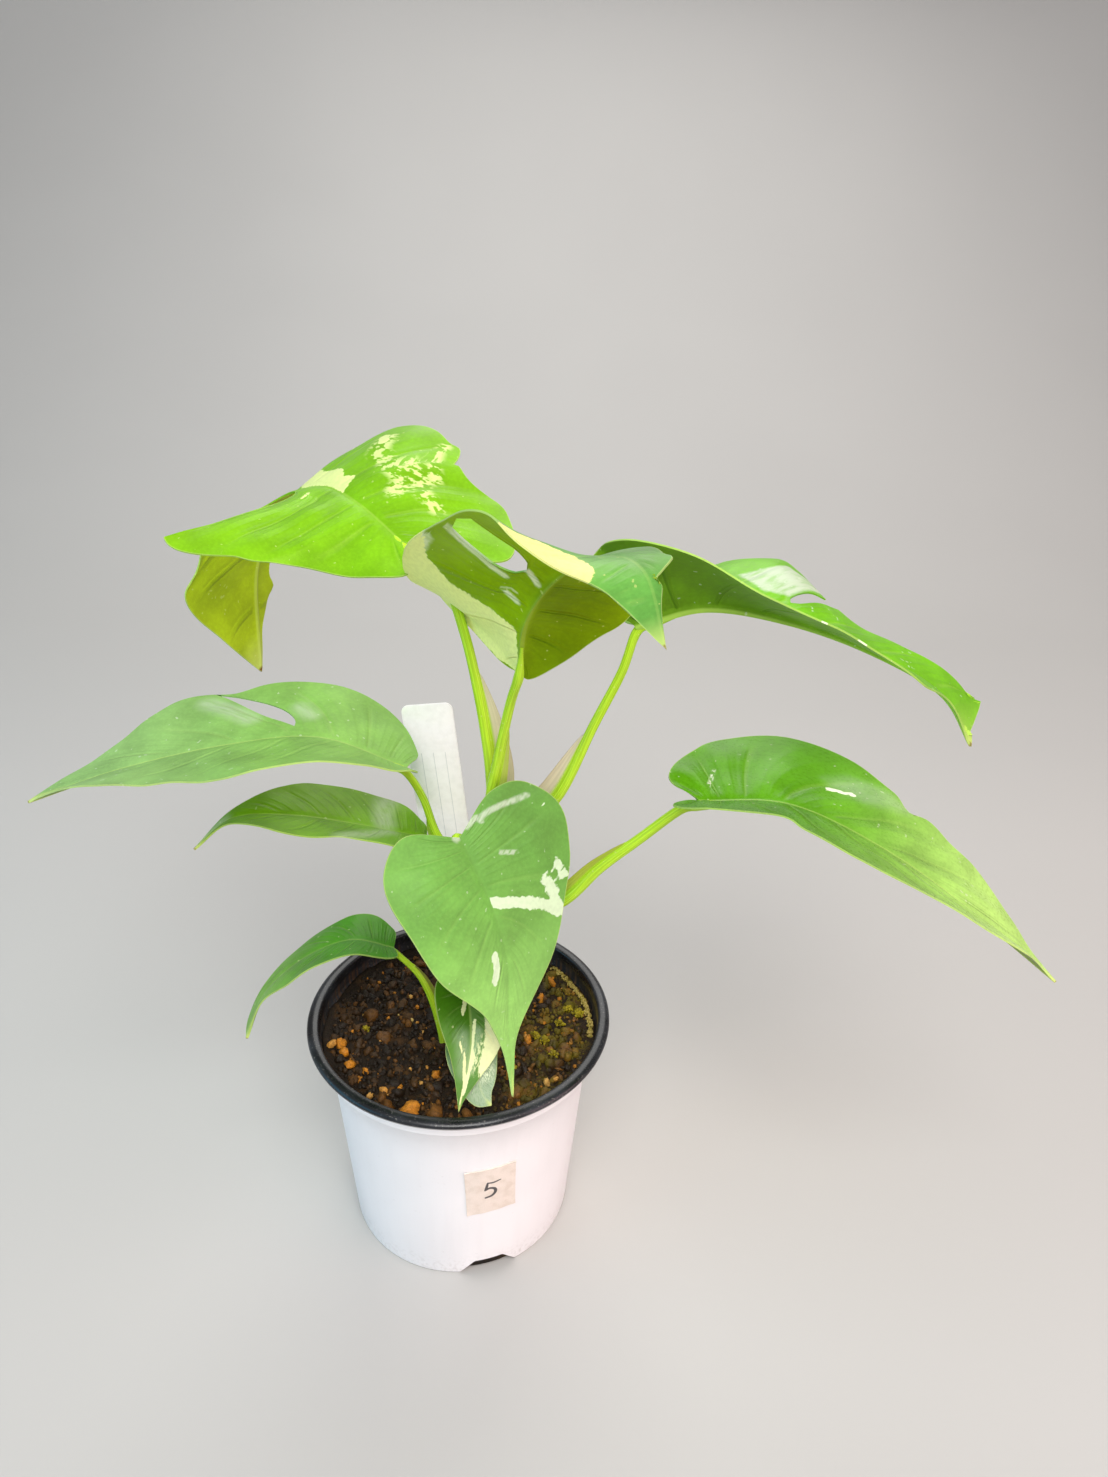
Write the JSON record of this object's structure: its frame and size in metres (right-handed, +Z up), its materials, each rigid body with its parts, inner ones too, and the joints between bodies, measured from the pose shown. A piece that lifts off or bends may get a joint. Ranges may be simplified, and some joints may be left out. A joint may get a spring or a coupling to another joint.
{
  "type": "mini monstera in a nursery pot",
  "caption": "Young variegated mini monstera with split and whole leaves on sheathed petioles, growing in a tapered nursery pot of potting mix with a plant label and a number sticker.",
  "frame": {"origin": "centre of the pot's flat underside, on the surface that it stands on", "axes": "+Z up along the pot's axis, +X to the right of the side with the number sticker, +Y away from that side; the foliage spreads furthest along X"},
  "size_m": [0.3124, 0.1551, 0.2725],
  "materials": {
    "pot_plastic": "white outside, with a black rolled rim and a black inside",
    "potting_mix": "dark bark and peat mix with ochre grains and a little moss",
    "label_plastic": "smooth white, bare",
    "sticker_paper": "matte beige paper tape",
    "stem_green": "smooth yellow-green",
    "leaf_lime": "soft gloss, bright lime with cream specks",
    "leaf_olive": "soft gloss, dark green below, with cream bands",
    "leaf_matte": "matte mid green with pale patches",
    "leaf_glossy": "glossy mid green",
    "leaf_cream": "soft gloss, green and cream"
  },
  "bodies": {
    "root": {"pot": "pot_plastic", "soil": "potting_mix", "plant_label": "label_plastic", "number_sticker": "sticker_paper", "stem": "stem_green", "leaf_top_left": "leaf_lime", "leaf_top_centre": "leaf_olive", "leaf_top_right": "leaf_olive", "leaf_mid_left": "leaf_matte", "leaf_inner_left": "leaf_matte", "leaf_front": "leaf_matte", "leaf_right": "leaf_glossy", "leaf_low_left": "leaf_glossy", "leaf_low_front": "leaf_cream", "leaf_small_front": "leaf_cream"}
  },
  "joints": []
}
